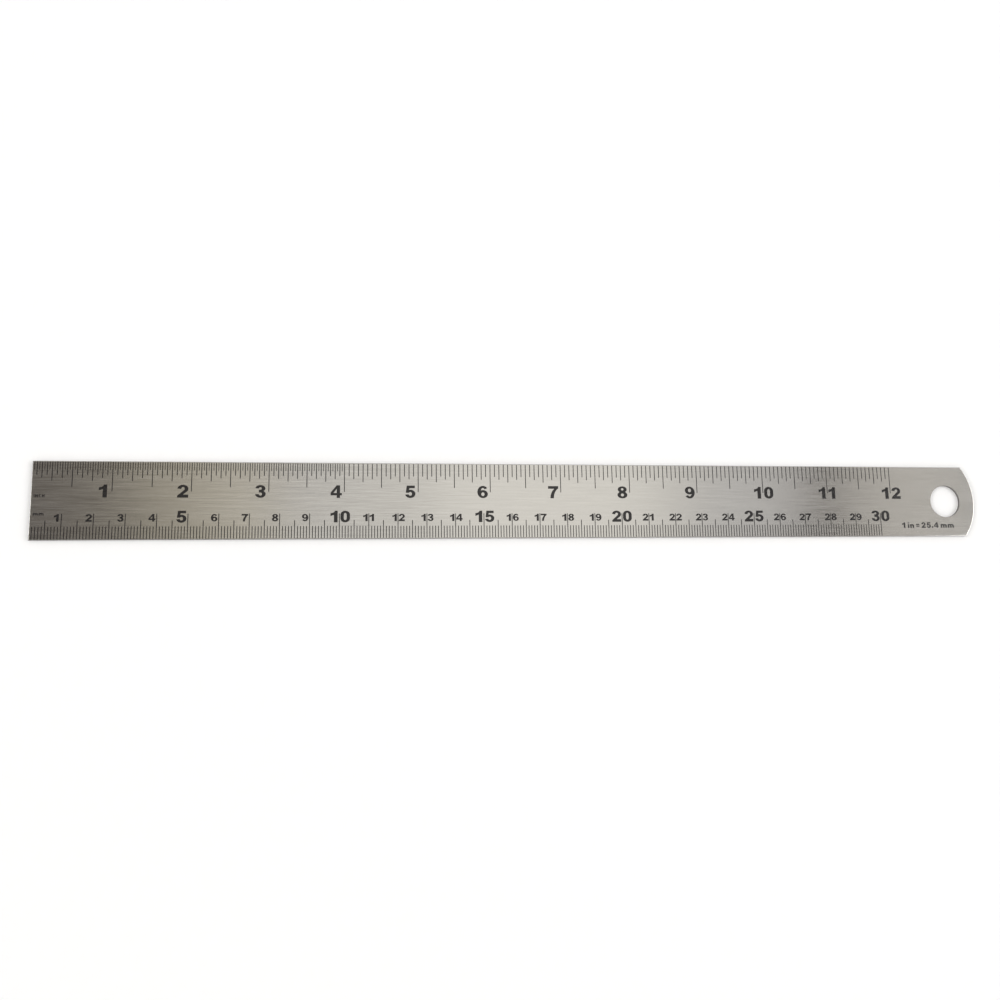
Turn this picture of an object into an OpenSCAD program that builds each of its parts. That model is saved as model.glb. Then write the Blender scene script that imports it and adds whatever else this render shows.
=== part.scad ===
// Rigid steel ruler with a hanging hole: one flat blade, etched on its upper
// face with an inch scale along one long edge and a millimetre scale along the
// other. Every etched mark is a real recess that holds its own black enamel.
//
// The origin is the centre of the zero end, where both scales begin. +X runs
// towards the hanging hole, +Y towards the inch edge, and +Z out of the
// graduated face.

/* [Blade] */
// Overall length, from the zero end to the tip
blade_l = 339; // [336:1:400]
// Width across the two graduated edges
blade_w = 26.5; // [25:0.5:32]
// Thickness of the sheet
blade_t = 1.0; // [0.8:0.1:2]
// Radius of the rounded edges, all the way round
edge_r = 0.3; // [0.1:0.05:0.35]

/* [Hanging end] */
// Radius of the bowed end
end_r = 22; // [20:1:60]
// Diameter of the hanging hole
hole_d = 12; // [6:1:14]
// Centre of the hanging hole to the tip
hole_to_tip = 12; // [11:0.5:14]
// Width of the chamfer round the hole, on both faces
hole_chamfer = 0.1; // [0.05:0.05:0.2]

/* [Etching] */
// Depth of the etched marks
etch_depth = 0.06; // [0.03:0.01:0.15]
// How far the enamel lies below the face
enamel_drop = 0.015; // [0.005:0.005:0.02]
// Width of the graduation lines
line_w = 0.28; // [0.2:0.02:0.4]
// Width of the closest-spaced lines, the thirty-seconds
fine_line_w = 0.22; // [0.1:0.02:0.3]

/* [Inch scale] */
// Length of the scale in inches
inches = 12; // [2:1:12]
// Inches that are also divided into thirty-seconds
fine_inches = 4; // [1:1:12]
// Length of the thirty-second lines, from the edge
thirty_second_len = 3.0; // [2:0.1:4]
// Length of the sixteenth lines
sixteenth_len = 4.7; // [4:0.1:5]
// Length of the eighth lines
eighth_len = 5.7; // [5:0.1:6]
// Length of the quarter lines
quarter_len = 6.7; // [6:0.1:7.5]
// Length of the half inch lines
half_len = 8.7; // [7:0.1:10]
// Length of the whole inch lines
inch_len = 10.2; // [9:0.1:11]
// Height of the inch numerals
inch_numeral_h = 4.4; // [3:0.1:4.5]
// Top of the inch numerals, from the inch edge
inch_numeral_top = 7.9; // [7.8:0.1:9]

/* [Metric scale] */
// Length of the scale in centimetres
centimetres = 30; // [5:1:30]
// Length of the millimetre lines, from the edge
mm_len = 4.5; // [3:0.1:5]
// Length of the five millimetre lines
five_mm_len = 6.5; // [5:0.1:7]
// Length of the centimetre lines
cm_len = 8.8; // [7:0.1:10]
// Height of the ordinary centimetre numerals
cm_numeral_h = 2.55; // [1.8:0.05:2.6]
// Height of the numerals at every fifth centimetre
five_cm_numeral_h = 4.05; // [2.5:0.05:4.1]
// Foot of the ordinary numerals, from the metric edge
cm_numeral_foot = 6.1; // [6:0.05:7]
// Foot of the large numerals, from the metric edge
five_cm_numeral_foot = 5.7; // [5.5:0.05:7]

/* [Hidden] */

$fn = 64;
inch = 25.4;
top_z = blade_t / 2;
half_w = blade_w / 2;
// A cutting shape runs this far past the face or edge that it opens.
overrun = 1;

// A lone digit is centred this far to the left of its line.
inch_lone_offset = 2.75;
cm_lone_offset = 1.5;
five_cm_lone_offset = 2.1;
// Two digits stand either side of their line, each this far from its middle.
inch_pair_gap = 0.5;
cm_pair_gap = 0.25;
five_cm_pair_gap = 0.35;

// The small legends: cap heights, and the lower left corner of each word.
inch_legend_h = 1.05;
inch_legend_at = [1.0, 1.0];
millimetre_legend_h = 1.3;
millimetre_legend_at = [1.1, -5.1];
conversion_legend_h = 2.1;
conversion_legend_at = [308.5, -10.1];

steel = [0.72, 0.71, 0.69];
enamel = [0.13, 0.12, 0.12];

// ---- Curves ----

// Curved stretches of the characters turn this many degrees at each point.
arc_step = 15;

// Points along an ellipse about c with half axes r, from angle a to angle b.
function arc(c, r, a, b) =
    let (steps = ceil(abs(b - a) / arc_step))
    [for (i = [0 : steps])
        let (angle = a + (b - a) * i / steps)
        [c.x + r.x * cos(angle), c.y + r.y * sin(angle)]];

// A whole ellipse, with no point repeated.
function ring(c, r) = arc(c, r, 0, 360 - arc_step);

function turned(points, size) = [for (p = points) size - p];

// ---- Digits: outlines one unit high, standing on y = 0 from x = 0 ----

// The width that each digit takes up, with a little air after the narrow 1
digit_widths = [0.80, 0.66, 0.82, 0.80, 0.87, 0.82, 0.85, 0.84, 0.84, 0.85];

function zero_outline() = concat(
    arc([0.40, 0.66], [0.40, 0.34], 0, 180),
    arc([0.40, 0.34], [0.40, 0.34], 180, 360));

function zero_counter() = concat(
    arc([0.40, 0.62], [0.12, 0.19], 0, 180),
    arc([0.40, 0.38], [0.12, 0.19], 180, 360));

function one_outline() = concat(
    [[0.29, 0], [0.60, 0], [0.60, 1]],
    arc([0, 1], [0.36, 0.21], 0, -90),
    [[0, 0.54], [0.29, 0.65]]);

function two_outline() = concat(
    [[0, 0], [0.82, 0], [0.82, 0.24], [0.43, 0.24]],
    arc([0.41, 0.68], [0.41, 0.32], -36, 176),
    arc([0.42, 0.69], [0.12, 0.13], 188, -46),
    [[0, 0.15]]);

function three_outline() = concat(
    arc([0.40, 0.29], [0.40, 0.29], 182, 410),
    arc([0.39, 0.73], [0.38, 0.27], -50, 178),
    arc([0.39, 0.73], [0.105, 0.095], 178, -90),
    [[0.28, 0.635], [0.28, 0.41]],
    arc([0.40, 0.29], [0.12, 0.12], 90, -178));

function four_outline() = [
    [0.47, 0], [0.73, 0], [0.73, 0.20], [0.87, 0.20], [0.87, 0.39], [0.73, 0.39],
    [0.73, 1], [0.46, 1], [0, 0.42], [0, 0.20], [0.47, 0.20]];

function four_counter() = [[0.47, 0.39], [0.47, 0.71], [0.22, 0.39]];

function five_outline() = concat(
    arc([0.41, 0.335], [0.41, 0.335], 190, 464),
    [[0.35, 0.79], [0.77, 0.79], [0.77, 1], [0.13, 1], [0.05, 0.42]],
    arc([0.41, 0.335], [0.135, 0.145], 146, -166));

function six_outline() = concat(
    arc([0.45, 0.50], [0.45, 0.50], 270, 38),
    arc([0.45, 0.64], [0.15, 0.18], 24, 165),
    arc([0.45, 0.33], [0.40, 0.33], 118, -75));

function six_counter() = ring([0.45, 0.32], [0.13, 0.15]);

function seven_outline() = concat(
    [[0, 1], [0, 0.78]],
    arc([1.07, 0], [0.90, 1.01], 129.5, 180),
    arc([1.16, 0], [0.70, 0.92], 180, 117),
    [[0.84, 1]]);

function eight_outline() = concat(
    arc([0.42, 0.285], [0.42, 0.285], 130, 410),
    arc([0.42, 0.74], [0.38, 0.26], -48, 228));

function eight_counters() = [
    ring([0.42, 0.75], [0.105, 0.095]),
    ring([0.42, 0.285], [0.13, 0.12])];

six_size = [digit_widths[6], 1];

digit_outlines = [
    zero_outline(), one_outline(), two_outline(), three_outline(), four_outline(),
    five_outline(), six_outline(), seven_outline(), eight_outline(),
    turned(six_outline(), six_size)];

digit_counters = [
    [zero_counter()], [], [], [], [four_counter()],
    [], [six_counter()], [], eight_counters(),
    [turned(six_counter(), six_size)]];

module digit(value) {
    difference() {
        polygon(digit_outlines[value]);
        for (counter = digit_counters[value])
            polygon(counter);
    }
}

// A number at x: a lone digit to the left of its line, or two digits astride it.
module number(value, x, foot, height, lone_offset, pair_gap) {
    tens = floor(value / 10);
    units = value % 10;
    if (tens == 0)
        translate([x - lone_offset - digit_widths[units] * height / 2, foot])
            scale(height) digit(units);
    else {
        translate([x - pair_gap - digit_widths[tens] * height, foot])
            scale(height) digit(tens);
        translate([x + pair_gap, foot])
            scale(height) digit(units);
    }
}

// ---- Letters and signs of the legends, to the same unit height ----

stroke = 0.28;
x_height = 0.66;
// An arched letter repeats its arch at this pitch.
arch_pitch = 0.46;
// Radii of the round shoulder over the last arch
shoulder = [0.28, 0.30];
letter_gap = 0.18;
word_gap = 0.42;

capital_width = 0.84;
capital_c_width = 0.74;
i_dot_h = 0.20;
equals_width = 0.62;
equals_bar = 0.18;

function arched_width(arches) = stroke + arches * arch_pitch;

// How far along a row its item number i begins, given the width of each item
function run_up(widths, gap, i) =
    i == 0 ? 0 : run_up(widths, gap, i - 1) + widths[i - 1] + gap;

function row_width(widths, gap) = run_up(widths, gap, len(widths)) - gap;

// Sets the children side by side on one line
module in_a_row(widths, gap) {
    for (i = [0 : $children - 1])
        translate([run_up(widths, gap, i), 0])
            children(i);
}

module letter_I() {
    square([stroke, 1]);
}

module letter_N() {
    polygon([
        [0, 0], [stroke, 0], [stroke, 0.58], [capital_width - stroke, 0], [capital_width, 0],
        [capital_width, 1], [capital_width - stroke, 1], [capital_width - stroke, 0.42],
        [stroke, 1], [0, 1]]);
}

module letter_C() {
    polygon(concat(
        arc([0.40, 0.5], [0.40, 0.5], 45, 315),
        arc([0.40, 0.5], [0.40 - stroke, 0.5 - stroke], 315, 45)));
}

module letter_H() {
    for (x = [0, capital_width - stroke])
        translate([x, 0]) square([stroke, 1]);
    translate([0, (1 - stroke) / 2]) square([capital_width, stroke]);
}

module letter_i() {
    square([stroke, x_height]);
    translate([0, 1 - i_dot_h]) square([stroke, i_dot_h]);
}

// The letter n has one arch and the letter m has two.
module arched_letter(arches) {
    arch = [(arch_pitch - stroke) / 2, 0.12];
    undersides = [for (i = [0 : arches - 1])
        each concat(
            [[arch_pitch * i + stroke, 0]],
            arc([arch_pitch * i + stroke + arch.x, 0.34], arch, 180, 0),
            [[arch_pitch * (i + 1), 0]])];
    width = arched_width(arches);
    polygon(concat(
        [[0, 0]],
        undersides,
        [[width, 0]],
        arc([width, x_height] - shoulder, shoulder, 0, 90),
        [[0, x_height]]));
}

module equals_sign() {
    for (y = [0.22, 0.52])
        translate([0, y]) square([equals_width, equals_bar]);
}

module decimal_point() {
    square(stroke);
}

inch_word_widths = [stroke, capital_width, capital_c_width, capital_width];
in_word_widths = [stroke, arched_width(1)];
mm_word_widths = [arched_width(2), arched_width(2)];
number_widths = [digit_widths[2], digit_widths[5], stroke, digit_widths[4]];

module inch_word() {
    in_a_row(inch_word_widths, letter_gap) {
        letter_I();
        letter_N();
        letter_C();
        letter_H();
    }
}

module in_word() {
    in_a_row(in_word_widths, letter_gap) {
        letter_i();
        arched_letter(1);
    }
}

module millimetre_word() {
    in_a_row(mm_word_widths, letter_gap) {
        arched_letter(2);
        arched_letter(2);
    }
}

module millimetres_in_an_inch() {
    in_a_row(number_widths, letter_gap) {
        digit(2);
        digit(5);
        decimal_point();
        digit(4);
    }
}

// One inch, an equals sign, and its length in millimetres
module conversion_words() {
    widths = [digit_widths[1], row_width(in_word_widths, letter_gap), equals_width,
              row_width(number_widths, letter_gap), row_width(mm_word_widths, letter_gap)];
    in_a_row(widths, word_gap) {
        digit(1);
        in_word();
        equals_sign();
        millimetres_in_an_inch();
        millimetre_word();
    }
}

// ---- Plan of the marks, as flat shapes ----

// Positions of one kind of inch line: every so many thirty-seconds, leaving
// out the places where a longer line stands.
function inch_ticks(every, longer, last_inch) =
    [for (i = [every : every : 32 * last_inch]) if (i % longer != 0) i * inch / 32];

function whole_inches() = [for (i = [1 : inches]) i * inch];

function mm_ticks(every, longer) =
    [for (i = [every : every : 10 * centimetres]) if (i % longer != 0) i];

function whole_cm() = [for (i = [1 : centimetres]) 10 * i];

// Lines that stand on the metric edge, from `start` to `length` inside it
module line_row(places, length, width, start) {
    for (x = places)
        translate([x - width / 2, start - half_w])
            square([width, length - start]);
}

// The same, hanging from the inch edge
module inch_line_row(places, length, width, start) {
    mirror([0, 1, 0])
        line_row(places, length, width, start);
}

module thirty_second_plan(start) {
    inch_line_row(inch_ticks(1, 2, fine_inches), thirty_second_len, fine_line_w, start);
}

module sixteenth_plan(start) {
    inch_line_row(inch_ticks(2, 4, inches), sixteenth_len, line_w, start);
}

module eighth_plan(start) {
    inch_line_row(inch_ticks(4, 8, inches), eighth_len, line_w, start);
}

module quarter_plan(start) {
    inch_line_row(inch_ticks(8, 16, inches), quarter_len, line_w, start);
}

module half_inch_plan(start) {
    inch_line_row(inch_ticks(16, 32, inches), half_len, line_w, start);
}

module inch_plan(start) {
    inch_line_row(whole_inches(), inch_len, line_w, start);
}

module millimetre_plan(start) {
    line_row(mm_ticks(1, 5), mm_len, line_w, start);
}

module five_millimetre_plan(start) {
    line_row(mm_ticks(5, 10), five_mm_len, line_w, start);
}

module centimetre_plan(start) {
    line_row(whole_cm(), cm_len, line_w, start);
}

module inch_numeral_plan() {
    for (i = [1 : inches])
        number(i, i * inch, half_w - inch_numeral_top - inch_numeral_h, inch_numeral_h,
               inch_lone_offset, inch_pair_gap);
}

module centimetre_numeral_plan() {
    for (i = [1 : centimetres])
        if (i % 5 != 0)
            number(i, 10 * i, cm_numeral_foot - half_w, cm_numeral_h,
                   cm_lone_offset, cm_pair_gap);
}

module five_centimetre_numeral_plan() {
    for (i = [5 : 5 : centimetres])
        number(i, 10 * i, five_cm_numeral_foot - half_w, five_cm_numeral_h,
               five_cm_lone_offset, five_cm_pair_gap);
}

module inch_legend_plan() {
    translate(inch_legend_at) scale(inch_legend_h) inch_word();
}

module millimetre_legend_plan() {
    translate(millimetre_legend_at) scale(millimetre_legend_h) millimetre_word();
}

module conversion_legend_plan() {
    translate(conversion_legend_at) scale(conversion_legend_h) conversion_words();
}

// Every mark on the face, with the lines run out past the edges
module all_marks_plan() {
    thirty_second_plan(-overrun);
    sixteenth_plan(-overrun);
    eighth_plan(-overrun);
    quarter_plan(-overrun);
    half_inch_plan(-overrun);
    inch_plan(-overrun);
    millimetre_plan(-overrun);
    five_millimetre_plan(-overrun);
    centimetre_plan(-overrun);
    inch_numeral_plan();
    centimetre_numeral_plan();
    five_centimetre_numeral_plan();
    inch_legend_plan();
    millimetre_legend_plan();
    conversion_legend_plan();
}

// ---- The blade ----

// Section through the sheet, `width` wide, with its four corners rounded
module sheet_section(width) {
    square([width - 2 * edge_r, blade_t], center = true);
    square([width, blade_t - 2 * edge_r], center = true);
    for (x = [-1, 1], y = [-1, 1])
        translate([x * (width / 2 - edge_r), y * (blade_t / 2 - edge_r)])
            circle(edge_r);
}

// A long strip with rounded long edges
module strip() {
    translate([-overrun, 0, 0])
        rotate([90, 0, 90])
            linear_extrude(blade_l + 2 * overrun)
                sheet_section(blade_w);
}

// A wide sheet whose rounded edge is the zero end
module zero_end_sheet() {
    length = blade_l + end_r;
    translate([length / 2, blade_w, 0])
        rotate([90, 0, 0])
            linear_extrude(2 * blade_w)
                sheet_section(length);
}

// What is trimmed away outside the bowed end, with the rim's rounding in it
module end_trim() {
    translate([blade_l - end_r, 0, 0])
        rotate([0, 0, -60])
            rotate_extrude(angle = 120)
                difference() {
                    translate([end_r - edge_r, -blade_t])
                        square([end_r, 2 * blade_t]);
                    translate([end_r / 2, 0])
                        sheet_section(end_r);
                }
}

module hanging_hole() {
    hole_r = hole_d / 2;
    flare_h = hole_chamfer + overrun;
    translate([blade_l - hole_to_tip, 0, 0]) {
        cylinder(h = blade_t + 2 * overrun, r = hole_r, center = true);
        for (side = [0, 1])
            mirror([0, 0, side])
                translate([0, 0, top_z - hole_chamfer])
                    cylinder(h = flare_h, r1 = hole_r, r2 = hole_r + flare_h);
    }
}

module blade() {
    color(steel)
        difference() {
            intersection() {
                strip();
                zero_end_sheet();
            }
            end_trim();
            hanging_hole();
            translate([0, 0, top_z - etch_depth])
                linear_extrude(etch_depth + overrun)
                    all_marks_plan();
        }
}

// ---- The enamel in the marks ----

// Enamel in the recess of the flat shape given, a little below the face
module enamel_in_recess() {
    color(enamel)
        translate([0, 0, top_z - etch_depth])
            linear_extrude(etch_depth - enamel_drop)
                children();
}

module thirty_second_lines() {
    enamel_in_recess() thirty_second_plan(edge_r);
}

module sixteenth_lines() {
    enamel_in_recess() sixteenth_plan(edge_r);
}

module eighth_lines() {
    enamel_in_recess() eighth_plan(edge_r);
}

module quarter_lines() {
    enamel_in_recess() quarter_plan(edge_r);
}

module half_inch_lines() {
    enamel_in_recess() half_inch_plan(edge_r);
}

module inch_lines() {
    enamel_in_recess() inch_plan(edge_r);
}

module inch_numerals() {
    enamel_in_recess() inch_numeral_plan();
}

module inch_legend() {
    enamel_in_recess() inch_legend_plan();
}

module millimetre_lines() {
    enamel_in_recess() millimetre_plan(edge_r);
}

module five_millimetre_lines() {
    enamel_in_recess() five_millimetre_plan(edge_r);
}

module centimetre_lines() {
    enamel_in_recess() centimetre_plan(edge_r);
}

module centimetre_numerals() {
    enamel_in_recess() centimetre_numeral_plan();
}

module five_centimetre_numerals() {
    enamel_in_recess() five_centimetre_numeral_plan();
}

module millimetre_legend() {
    enamel_in_recess() millimetre_legend_plan();
}

module conversion_legend() {
    enamel_in_recess() conversion_legend_plan();
}

blade();
thirty_second_lines();
sixteenth_lines();
eighth_lines();
quarter_lines();
half_inch_lines();
inch_lines();
inch_numerals();
inch_legend();
millimetre_lines();
five_millimetre_lines();
centimetre_lines();
centimetre_numerals();
five_centimetre_numerals();
millimetre_legend();
conversion_legend();
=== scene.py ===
"""The looks of a rigid steel ruler: a blade of lengthwise-brushed stainless steel
with black enamel in its etched marks, lying on a white table in soft light.

Lengths are in metres, in the frame of the CAD model: the origin is the centre of
the zero end, +X runs towards the hanging hole, and +Z out of the graduated face.
"""

import math

import bmesh
import bpy
from mathutils import Matrix, Vector


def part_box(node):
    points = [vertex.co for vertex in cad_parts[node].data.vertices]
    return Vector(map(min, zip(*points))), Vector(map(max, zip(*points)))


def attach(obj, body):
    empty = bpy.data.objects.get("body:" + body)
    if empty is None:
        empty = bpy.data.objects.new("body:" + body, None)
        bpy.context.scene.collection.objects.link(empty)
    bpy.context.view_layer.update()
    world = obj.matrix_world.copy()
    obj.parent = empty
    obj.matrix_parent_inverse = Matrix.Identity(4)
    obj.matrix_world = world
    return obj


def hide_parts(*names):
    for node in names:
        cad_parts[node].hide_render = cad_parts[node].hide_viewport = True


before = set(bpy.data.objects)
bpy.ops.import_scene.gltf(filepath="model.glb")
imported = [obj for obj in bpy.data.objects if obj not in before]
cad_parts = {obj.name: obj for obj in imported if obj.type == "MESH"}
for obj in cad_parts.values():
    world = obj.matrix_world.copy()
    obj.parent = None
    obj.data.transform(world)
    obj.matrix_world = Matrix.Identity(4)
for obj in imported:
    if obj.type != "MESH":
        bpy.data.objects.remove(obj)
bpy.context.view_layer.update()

MM = 0.001
blade_low, blade_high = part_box("blade")
BLADE_MIDDLE = (blade_low + blade_high) / 2
FLOOR_Z = blade_low.z

EDGE_RADIUS = 0.3 * MM
END_RADIUS = 22.0 * MM
END_AXIS_X = blade_high.x - END_RADIUS
HOLE_RADIUS = 6.0 * MM
HOLE_CHAMFER = 0.1 * MM
HOLE_TO_TIP = 12.0 * MM
HOLE_AXIS_X = blade_high.x - HOLE_TO_TIP
ROUNDING_STEPS = 8
BOW_STEPS = 64
HOLE_STEPS = 96
# Faces that meet at a sharper angle than this are shaded apart.
CREASE = math.radians(25)
# A cutting shape runs this far past the face or edge that it opens.
OVERRUN = 1.0 * MM
# Points closer together than this count as one.
TINY = 0.0005 * MM

STEEL = (0.66, 0.65, 0.62)
# The edges and the wall of the hole aren't brushed, so they are rougher; their dark grey colour is
# painted shade.
PAINTED_EDGE_SHADE = (0.27, 0.26, 0.25)
SHEARED_ROUGHNESS = 0.5
ENAMEL = (0.011, 0.0103, 0.0103)

WARM = (1.0, 0.93, 0.73)
SLIGHTLY_WARM = (1.0, 0.97, 0.90)
# The overhead lights' centres lie this far towards the inch edge, and they are this deep.
OVERHEAD_Y = 0.15
OVERHEAD_DEPTH = 1.2

CAMERA_AT = Vector((117.0, -41.4, 286.7)) * MM
CAMERA_AIM = Vector((155.8, 0.3, 0.5)) * MM
CAMERA_ROLL = math.radians(-1.03)
CAMERA_LENS_MM = 29.7


# ---- Building materials from nodes ----

class NodeTree:
    """The nodes of one material or world, with a short call for each kind used here."""

    def __init__(self, owner):
        owner.use_nodes = True
        self.tree = owner.node_tree
        self.tree.nodes.clear()

    def add(self, kind, inputs=None, **settings):
        node = self.tree.nodes.new(kind)
        for key, value in settings.items():
            setattr(node, key, value)
        for key, value in (inputs or {}).items():
            self.set(node.inputs[key], value)
        return node

    def set(self, socket, value):
        """Links the socket if the value is another node's output, or else sets it."""
        if isinstance(value, bpy.types.NodeSocket):
            self.tree.links.new(value, socket)
        else:
            socket.default_value = value

    def place(self):
        return self.add("ShaderNodeTexCoord").outputs["Object"]

    def noise(self, cells_per_metre, detail=2.0, roughness=0.5, distortion=0.0):
        """Noise from about 0 to 1, with its own number of cells per metre along each axis."""
        stretched = self.add(
            "ShaderNodeMapping", {"Vector": self.place(), "Scale": cells_per_metre})
        texture = self.add(
            "ShaderNodeTexNoise",
            {"Vector": stretched.outputs["Vector"], "Scale": 1.0, "Detail": detail,
             "Roughness": roughness, "Distortion": distortion})
        return texture.outputs["Fac"]

    def span(self, value, from_low, from_high, to_low, to_high):
        """The value, carried from one span of numbers to another and held at its ends."""
        node = self.add(
            "ShaderNodeMapRange",
            {"Value": value, "From Min": from_low, "From Max": from_high,
             "To Min": to_low, "To Max": to_high})
        return node.outputs["Result"]

    def math(self, operation, a, b=0.0):
        node = self.add("ShaderNodeMath", operation=operation)
        self.set(node.inputs[0], a)
        self.set(node.inputs[1], b)
        return node.outputs["Value"]

    def mix(self, share, first, second):
        """A blend of two colours, whose sockets a mix node keeps after those for numbers."""
        node = self.add("ShaderNodeMix", data_type="RGBA")
        self.set(node.inputs["Factor"], share)
        self.set(node.inputs[6], first)
        self.set(node.inputs[7], second)
        return node.outputs[2]

    def bump(self, height, depth, normal=None):
        node = self.add("ShaderNodeBump", {"Height": height, "Distance": depth})
        if normal is not None:
            self.set(node.inputs["Normal"], normal)
        return node.outputs["Normal"]


def new_material(name):
    material = bpy.data.materials.new(name)
    return material, NodeTree(material)


def rgba(colour, scale=1.0):
    return (*(scale * part for part in colour), 1.0)


# ---- Materials ----

def edge_shade_and_roughness(nodes):
    """0 on the flat faces and 1 on the edges and inside the hole, which aren't brushed: there it lays a
    rougher finish and a painted shade of dark grey.
    """
    normal = nodes.add("ShaderNodeTexCoord").outputs["Normal"]
    upright = nodes.math(
        "ABSOLUTE", nodes.add("ShaderNodeSeparateXYZ", {"Vector": normal}).outputs["Z"])
    return nodes.span(upright, 0.70, 0.97, 1.0, 0.0)


def wear(nodes):
    """1 near the zero end, which is handled the most, and less past the middle."""
    along = nodes.add("ShaderNodeSeparateXYZ", {"Vector": nodes.place()}).outputs["X"]
    return nodes.span(along, 0.10, 0.16, 1.0, 0.5)


def brushed_steel():
    material, nodes = new_material("brushed_stainless_look")
    grain = nodes.noise((40, 6000, 6000), detail=4, roughness=0.6)
    streaks = nodes.noise((70, 2300, 2300), detail=3, roughness=0.55, distortion=1.0)
    broad = nodes.noise((14, 130, 130), detail=2)
    edge = edge_shade_and_roughness(nodes)
    worn = wear(nodes)

    tone = nodes.math("ADD", nodes.math("MULTIPLY", streaks, 0.7),
                      nodes.math("MULTIPLY", grain, 0.3))
    streaked = nodes.mix(nodes.span(tone, 0.35, 0.65, 0.0, 1.0),
                         rgba(STEEL, 0.87), rgba(STEEL, 1.09))
    brushed = nodes.mix(worn, rgba(STEEL, 0.98), streaked)
    # Painted shade: the edges and the wall of the hole take a dark grey in place of the steel's own
    # colour.
    colour = nodes.mix(edge, brushed, rgba(PAINTED_EDGE_SHADE))
    brushed_roughness = nodes.math(
        "ADD", nodes.span(streaks, 0.3, 0.7, 0.18, 0.26),
        nodes.span(broad, 0.3, 0.7, -0.012, 0.012))
    roughness = nodes.math("MAXIMUM", brushed_roughness, nodes.math("MULTIPLY", edge, SHEARED_ROUGHNESS))
    normal = nodes.bump(nodes.math("MULTIPLY", streaks, worn), 0.017 * MM)
    normal = nodes.bump(grain, 0.003 * MM, normal)
    across = nodes.add("ShaderNodeCombineXYZ", {"Y": 1.0})
    shader = nodes.add(
        "ShaderNodeBsdfPrincipled",
        {"Base Color": colour, "Metallic": 1.0, "Roughness": roughness,
         "Anisotropic": 0.8, "Tangent": across.outputs["Vector"], "Normal": normal})
    nodes.add("ShaderNodeOutputMaterial", {"Surface": shader.outputs["BSDF"]})
    return material


def black_enamel():
    material, nodes = new_material("black_enamel_look")
    cloud = nodes.noise((900, 900, 900), detail=3, roughness=0.6)
    speck = nodes.noise((5200, 5200, 5200), detail=2)
    colour = nodes.mix(cloud, rgba(ENAMEL, 0.8), rgba(ENAMEL, 1.4))
    roughness = nodes.span(cloud, 0.3, 0.7, 0.22, 0.34)
    shader = nodes.add(
        "ShaderNodeBsdfPrincipled",
        {"Base Color": colour, "Roughness": roughness, "Specular IOR Level": 0.5,
         "Normal": nodes.bump(speck, 0.004 * MM)})
    nodes.add("ShaderNodeOutputMaterial", {"Surface": shader.outputs["BSDF"]})
    return material


def white_table():
    material, nodes = new_material("white_table")
    fibre = nodes.noise((260, 260, 260), detail=4, roughness=0.6)
    shader = nodes.add(
        "ShaderNodeBsdfPrincipled",
        {"Base Color": nodes.mix(fibre, rgba((0.93, 0.93, 0.93)), rgba((0.96, 0.96, 0.96))),
         "Roughness": 0.9, "Specular IOR Level": 0.2})
    nodes.add("ShaderNodeOutputMaterial", {"Surface": shader.outputs["BSDF"]})
    return material


def dress_the_cad_nodes():
    """Gives each CAD node the look of its material slot."""
    looks = {"brushed_stainless": brushed_steel(), "black_enamel": black_enamel()}
    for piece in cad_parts.values():
        for slot in piece.material_slots:
            slot.material = looks[slot.material.name.split(".")[0]]


# ---- The blade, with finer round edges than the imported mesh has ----

def steps_between(first, last, steps):
    return [first + (last - first) * i / steps for i in range(steps + 1)]


def blade_outline(inset, height):
    """The blade's outline at one height, where its edges are drawn in by `inset`."""
    half_width = blade_high.y - inset
    radius = END_RADIUS - inset
    corner = math.asin(half_width / radius)
    zero_end = [(blade_low.x + inset, side * half_width, height) for side in (-1, 1)]
    bowed_end = [(END_AXIS_X + radius * math.cos(turn), radius * math.sin(turn), height)
                 for turn in steps_between(corner, -corner, BOW_STEPS)]
    return zero_end + bowed_end


def hole_outline(radius, height):
    turns = [math.tau * i / HOLE_STEPS for i in range(HOLE_STEPS)]
    return [(HOLE_AXIS_X + radius * math.cos(turn), radius * math.sin(turn), height)
            for turn in turns]


def add_skin(mesh, rings):
    """Adds a closed skin through rings of equally many points, capped at both ends."""
    rows = [[mesh.verts.new(place) for place in ring] for ring in rings]
    skin = [mesh.faces.new(rows[0]), mesh.faces.new(rows[-1])]
    for upper, lower in zip(rows, rows[1:]):
        for i in range(len(upper)):
            skin.append(mesh.faces.new((upper[i - 1], upper[i], lower[i], lower[i - 1])))
    bmesh.ops.recalc_face_normals(mesh, faces=skin)


def rounded_sheet():
    """The blade with every edge rounded, before its hole and its recesses are cut."""
    mesh = bmesh.new()
    upper = [(EDGE_RADIUS * (1 - math.sin(turn)), blade_high.z - EDGE_RADIUS * (1 - math.cos(turn)))
             for turn in steps_between(0.0, math.pi / 2, ROUNDING_STEPS)]
    lower = [(inset, -height) for inset, height in reversed(upper)]
    add_skin(mesh, [blade_outline(inset, height) for inset, height in upper + lower])
    return mesh


def cutting_tool():
    """The chamfered hole, and the enamel raised past the face and run out past the edges."""
    mesh = bmesh.new()
    for name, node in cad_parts.items():
        if name != "blade":
            mesh.from_mesh(node.data)
    bmesh.ops.remove_doubles(mesh, verts=mesh.verts, dist=TINY)
    enamel_low, enamel_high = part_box("inch_numerals")
    enamel_middle = (enamel_low.z + enamel_high.z) / 2
    line_end = blade_high.y - EDGE_RADIUS
    for vert in mesh.verts:
        if vert.co.z > enamel_middle:
            vert.co.z = blade_high.z + OVERRUN
        if abs(vert.co.y) > line_end - TINY:
            vert.co.y = math.copysign(blade_high.y + OVERRUN, vert.co.y)

    flare = HOLE_CHAMFER + OVERRUN
    bore_top = blade_high.z - HOLE_CHAMFER
    add_skin(mesh, [
        hole_outline(HOLE_RADIUS + flare, bore_top + flare), hole_outline(HOLE_RADIUS, bore_top),
        hole_outline(HOLE_RADIUS, -bore_top), hole_outline(HOLE_RADIUS + flare, -bore_top - flare)])
    return mesh


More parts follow.
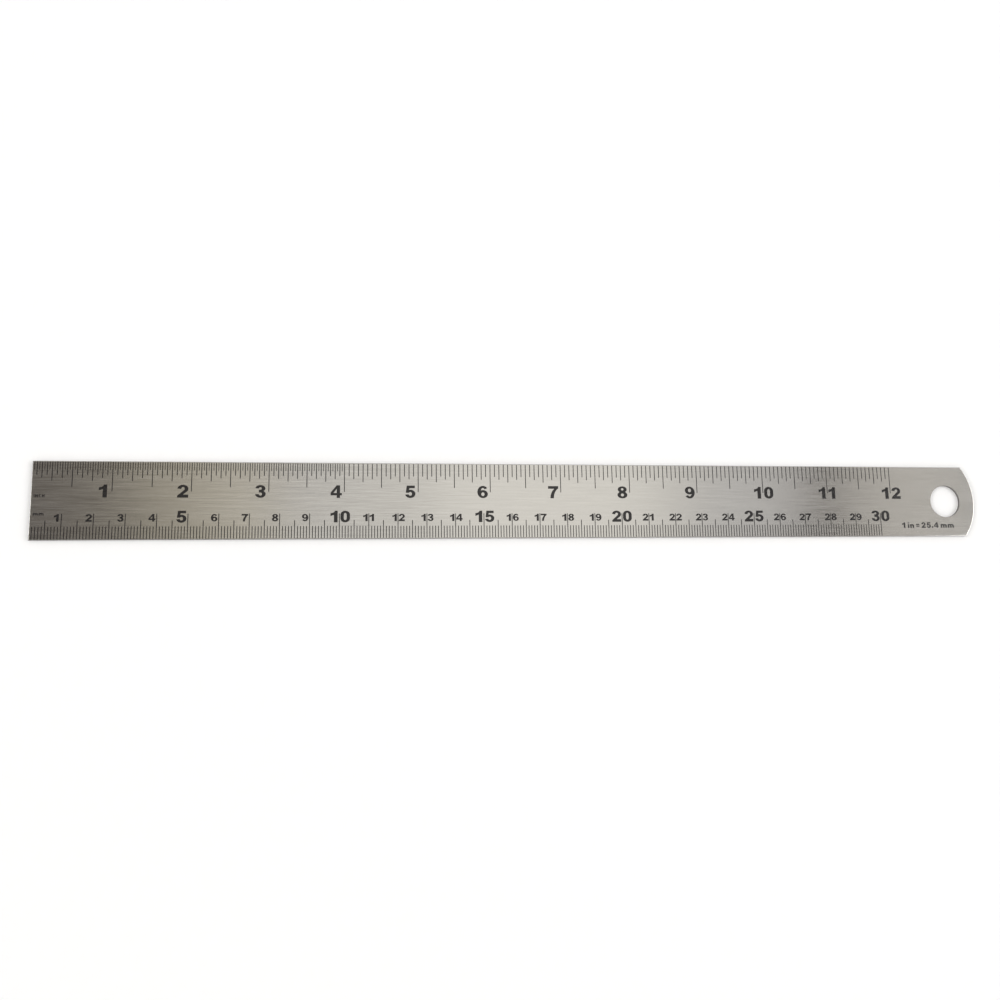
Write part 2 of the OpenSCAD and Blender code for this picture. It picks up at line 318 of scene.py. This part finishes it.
def new_object(name, mesh):
    data = bpy.data.meshes.new(name)
    mesh.to_mesh(data)
    mesh.free()
    thing = bpy.data.objects.new(name, data)
    bpy.context.scene.collection.objects.link(thing)
    return thing


def cut_away(piece, tool):
    """The mesh that is left of the piece where the tool is taken out of it."""
    cut = piece.modifiers.new("cut", "BOOLEAN")
    cut.operation = "DIFFERENCE"
    cut.solver = "MANIFOLD"
    cut.object = tool
    whole = piece.evaluated_get(bpy.context.evaluated_depsgraph_get())
    mesh = bmesh.new()
    mesh.from_mesh(whole.data)
    piece.modifiers.clear()
    return mesh


def lies_level(face):
    return abs(face.normal.z) > 0.9999


def shade(mesh):
    """Shades the round faces as smooth and keeps the level ones flat."""
    for face in mesh.faces:
        face.smooth = True
    for edge in mesh.edges:
        beside_level = any(lies_level(face) for face in edge.link_faces)
        edge.smooth = edge.calc_face_angle() < CREASE and not beside_level


def refine_blade():
    """Stands a blade of the same shape, with finer round edges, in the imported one's place."""
    piece = new_object("refined_blade", rounded_sheet())
    tool = new_object("cutting_tool", cutting_tool())
    mesh = cut_away(piece, tool)
    bpy.data.objects.remove(tool)
    bmesh.ops.triangulate(mesh, faces=mesh.faces)
    mesh.normal_update()
    shade(mesh)
    mesh.to_mesh(piece.data)
    mesh.free()
    piece.data.materials.clear()
    piece.data.materials.append(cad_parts["blade"].material_slots[0].material)
    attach(piece, "root")
    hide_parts("blade")


# ---- Table, light and camera ----

def lay_table():
    half = 3.0
    mesh = bpy.data.meshes.new("table_top")
    corners = [(-half, -half), (half, -half), (half, half), (-half, half)]
    mesh.from_pydata([(x, y, FLOOR_Z) for x, y in corners], [], [(0, 1, 2, 3)])
    mesh.materials.append(white_table())
    table = bpy.data.objects.new("table_top", mesh)
    bpy.context.scene.collection.objects.link(table)


def facing(at, aim):
    """The turn of a camera or light at one point that looks at another, with its top towards +Y."""
    back = (at - aim).normalized()
    right = Vector((0, 1, 0)).cross(back).normalized()
    up = back.cross(right)
    return Matrix((right, up, back)).transposed()


def put(thing, at, turn):
    thing.matrix_world = Matrix.Translation(at) @ turn.to_4x4()
    bpy.context.scene.collection.objects.link(thing)


def softbox(name, at, width, depth, radiance, colour=(1, 1, 1), turn=0.0):
    """A rectangular light of even radiance, 1 being what a white pixel shows."""
    lamp = bpy.data.lights.new(name, "AREA")
    lamp.shape = "RECTANGLE"
    lamp.size = width
    lamp.size_y = depth
    lamp.color = colour
    lamp.energy = radiance * math.pi * width * depth
    at = Vector(at)
    turned = facing(at, BLADE_MIDDLE) @ Matrix.Rotation(turn, 3, "Z")
    put(bpy.data.objects.new(name, lamp), at, turned)


def overhead(name, x, height, width, radiance, colour=(1, 1, 1), turn=0.0):
    """A long softbox across the blade, which mirrors in its face as seen by the camera."""
    softbox(name, (x, OVERHEAD_Y, height), width, OVERHEAD_DEPTH, radiance, colour, turn)


def sky():
    """Even light from all round, with a dim warm patch overhead."""
    world = bpy.data.worlds.new("light_tent")
    bpy.context.scene.world = world
    nodes = NodeTree(world)
    direction = nodes.add("ShaderNodeTexCoord").outputs["Generated"]
    height = nodes.add("ShaderNodeSeparateXYZ", {"Vector": direction}).outputs["Z"]
    share = nodes.span(height, 0.50, 0.82, 0.0, 1.0)
    colour = nodes.mix(share, rgba((1.1, 1.1, 1.1)), rgba((0.106, 0.093, 0.090)))
    background = nodes.add("ShaderNodeBackground", {"Color": colour})
    nodes.add("ShaderNodeOutputWorld", {"Surface": background.outputs["Background"]})


def light_the_scene():
    sky()
    slant = math.radians(12)
    overhead("left_fade", -0.34, 1.01, 0.16, 0.084, WARM, slant)
    overhead("warm_softbox", -0.16, 1.0, 0.20, 0.355, WARM, slant)
    overhead("warm_core", -0.09, 0.99, 0.12, 0.23, SLIGHTLY_WARM, slant)
    overhead("overhead_softbox", 0.355, 1.0, 0.84, 0.555)
    overhead("overhead_middle", 0.31, 0.99, 0.58, 0.15, WARM)
    overhead("overhead_core", 0.36, 0.98, 0.34, 0.18, SLIGHTLY_WARM)
    overhead("right_strip", 0.985, 1.0, 0.19, 0.484, SLIGHTLY_WARM)
    softbox("left_softbox", (-2.2, 0.0, 1.4), 1.4, 1.4, 4.5)
    softbox("right_softbox", (2.6, 0.0, 1.4), 1.4, 1.4, 4.5)


def place_camera():
    camera = bpy.data.objects.new("camera", bpy.data.cameras.new("camera"))
    camera.data.lens = CAMERA_LENS_MM
    camera.data.clip_start = 10 * MM
    roll = Matrix.Rotation(CAMERA_ROLL, 3, "Z")
    put(camera, CAMERA_AT, facing(CAMERA_AT, CAMERA_AIM) @ roll)
    bpy.context.scene.camera = camera


dress_the_cad_nodes()
refine_blade()
lay_table()
light_the_scene()
place_camera()
bpy.context.scene.view_settings.view_transform = "Standard"
